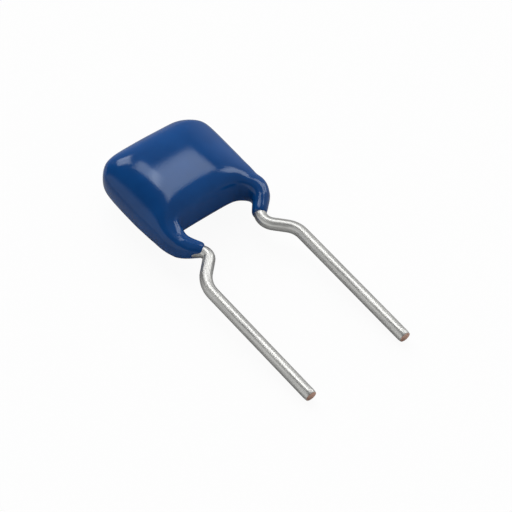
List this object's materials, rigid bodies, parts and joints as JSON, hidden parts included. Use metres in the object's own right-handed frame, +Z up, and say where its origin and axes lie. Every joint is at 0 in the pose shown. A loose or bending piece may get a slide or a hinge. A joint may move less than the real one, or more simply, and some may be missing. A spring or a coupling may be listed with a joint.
{
  "type": "polyester film capacitor",
  "caption": "Small epoxy-dipped film capacitor, lying on its back: square pillow body with sloping shoulders and kinked wire leads for a printed circuit board.",
  "frame": {"origin": "middle of the part's box at its base, on the table under it", "axes": "+Y from the lead tips towards the body, +Z up from the table, +X across the leads, to the right as the front face is seen with the leads pointing down"},
  "size_m": [0.0057, 0.0146, 0.0026],
  "materials": {
    "epoxy": "glossy dipped blue epoxy",
    "metallised_film": "edge-on layers of metallised polyester",
    "plain_film": "clear polyester sheet",
    "sprayed_metal": "matt sprayed zinc",
    "solder": "smooth solder",
    "tinned_wire": "bright tin plate, drawn lengthwise"
  },
  "bodies": {
    "root": {"epoxy_coating": "epoxy", "film_stack": "metallised_film", "cover_film_front": "plain_film", "cover_film_back": "plain_film", "end_spray_left": "sprayed_metal", "end_spray_right": "sprayed_metal", "solder_joint_left": "solder", "solder_joint_right": "solder", "lead_left": "tinned_wire", "lead_right": "tinned_wire"}
  },
  "joints": []
}
